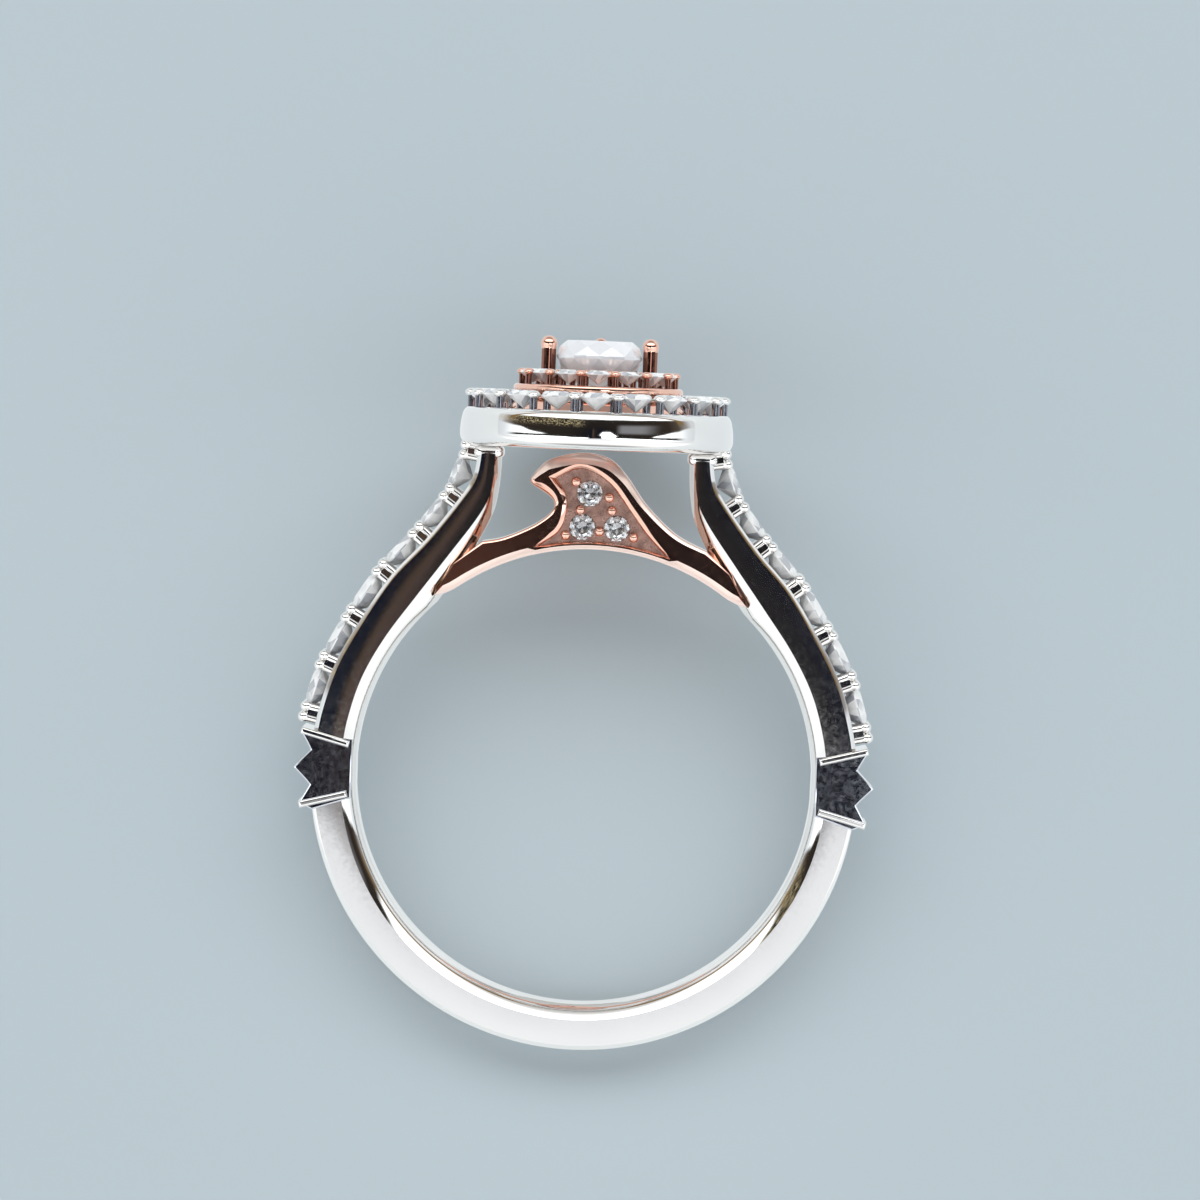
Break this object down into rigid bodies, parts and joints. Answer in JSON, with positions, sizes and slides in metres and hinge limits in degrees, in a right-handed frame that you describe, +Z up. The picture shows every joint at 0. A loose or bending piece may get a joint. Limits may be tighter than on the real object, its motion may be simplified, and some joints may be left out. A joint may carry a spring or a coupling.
{
  "type": "diamond engagement ring",
  "caption": "Two-tone engagement ring with a pear-shaped stone in a stepped double halo, stone-set shoulders and a wave-shaped bridge over the finger hole.",
  "frame": {"origin": "on the surface that the ring lies on, under the middle of its box", "axes": "+Z up from the surface, +Y from the bottom of the band towards the head, +X to the right of someone who looks down on the ring with the head away from them"},
  "size_m": [0.022, 0.0272, 0.0118],
  "materials": {
    "white_gold": "polished white gold",
    "rose_gold": "polished rose gold",
    "diamond": "clear, cut and polished"
  },
  "bodies": {
    "root": {"shank": "white_gold", "halo_frame": "white_gold", "inner_halo": "rose_gold", "wave_bridge": "rose_gold", "centre_stone": "diamond", "outer_halo_stones": "diamond", "inner_halo_stones": "diamond", "shoulder_stone_left_1": "diamond", "shoulder_stone_left_2": "diamond", "shoulder_stone_left_3": "diamond", "shoulder_stone_left_4": "diamond", "shoulder_stone_left_5": "diamond", "shoulder_stone_left_6": "diamond", "shoulder_stone_right_1": "diamond", "shoulder_stone_right_2": "diamond", "shoulder_stone_right_3": "diamond", "shoulder_stone_right_4": "diamond", "shoulder_stone_right_5": "diamond", "shoulder_stone_right_6": "diamond", "wave_stone_1": "diamond", "wave_stone_2": "diamond", "wave_stone_3": "diamond"}
  },
  "joints": []
}
